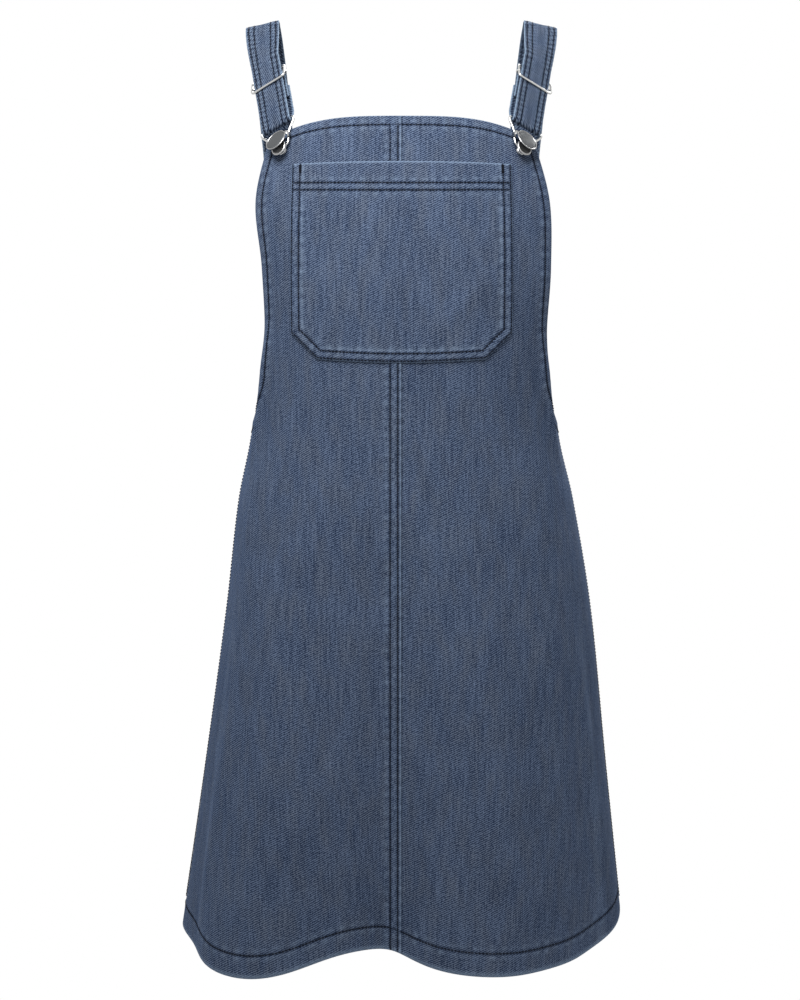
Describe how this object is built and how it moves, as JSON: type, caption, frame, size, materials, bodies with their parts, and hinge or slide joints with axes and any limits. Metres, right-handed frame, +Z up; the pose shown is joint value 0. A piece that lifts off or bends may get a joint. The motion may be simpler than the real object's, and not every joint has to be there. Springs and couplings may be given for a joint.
{
  "type": "smock apron",
  "caption": "Sleeveless A-line denim bib apron dress with a patch pocket, hung from shoulder straps with wire sliders and clips.",
  "frame": {"origin": "midway between the two straps, on the line where their undersides rest on the shoulders", "axes": "+Z up, the front of the bib faces -Y, and +X is towards the wearer's left"},
  "size_m": [0.4584, 0.3092, 0.9622],
  "materials": {
    "denim": "indigo and white twill, matt",
    "denim_inside": "inner side of the twill, paler",
    "denim_pocket": "indigo and white twill, matt",
    "denim_strap": "folded and topstitched twill",
    "clip_wire": "polished wire",
    "clip_cap": "brushed grey plate with a bright rim",
    "slider": "polished wire",
    "button": "satin metal"
  },
  "bodies": {
    "root": {"front_panel_left": "denim", "front_panel_right": "denim", "back_panel_left": "denim", "back_panel_right": "denim", "bib_facing": "denim_inside", "back_facing": "denim_inside", "armhole_facing_left": "denim_inside", "armhole_facing_right": "denim_inside", "bib_pocket": "denim_pocket", "strap_right": "denim_strap", "strap_left": "denim_strap", "button_head_right": "button", "button_head_left": "button", "button_shank_right": "button", "button_shank_left": "button", "button_tack_right": "button", "button_tack_left": "button"},
    "strap_end_right": {"strap_end_right": "denim_strap"},
    "clip_right": {"clip_wire_right": "clip_wire", "clip_cap_right": "clip_cap"},
    "slider_right": {"slider_frame_right": "slider", "slider_bar_right": "slider", "strap_tab_right": "denim_strap"},
    "strap_end_left": {"strap_end_left": "denim_strap"},
    "clip_left": {"clip_wire_left": "clip_wire", "clip_cap_left": "clip_cap"},
    "slider_left": {"slider_frame_left": "slider", "slider_bar_left": "slider", "strap_tab_left": "denim_strap"}
  },
  "joints": [
    {"name": "strap_give_right", "type": "slide", "parent": "root", "child": "strap_end_right", "axis": [-0.1023, 0.5999, 0.7935], "range_m": [-0.0085, 0]},
    {"name": "clip_swing_right", "type": "hinge", "parent": "strap_end_right", "child": "clip_right", "pos_m": [-0.12384, -0.09447, -0.11365], "axis": [0.8064, -0.4171, 0.4193], "range_deg": [-2.5, 0]},
    {"name": "slider_travel_right", "type": "slide", "parent": "root", "child": "slider_right", "axis": [-0.1597, 0.529, 0.8334], "range_m": [-0.01, 0.014]},
    {"name": "strap_give_left", "type": "slide", "parent": "root", "child": "strap_end_left", "axis": [0.1023, 0.5999, 0.7935], "range_m": [-0.0085, 0]},
    {"name": "clip_swing_left", "type": "hinge", "parent": "strap_end_left", "child": "clip_left", "pos_m": [0.12384, -0.09447, -0.11365], "axis": [0.8064, 0.4171, -0.4193], "range_deg": [-2.5, 0]},
    {"name": "slider_travel_left", "type": "slide", "parent": "root", "child": "slider_left", "axis": [0.1597, 0.529, 0.8334], "range_m": [-0.01, 0.014]}
  ]
}
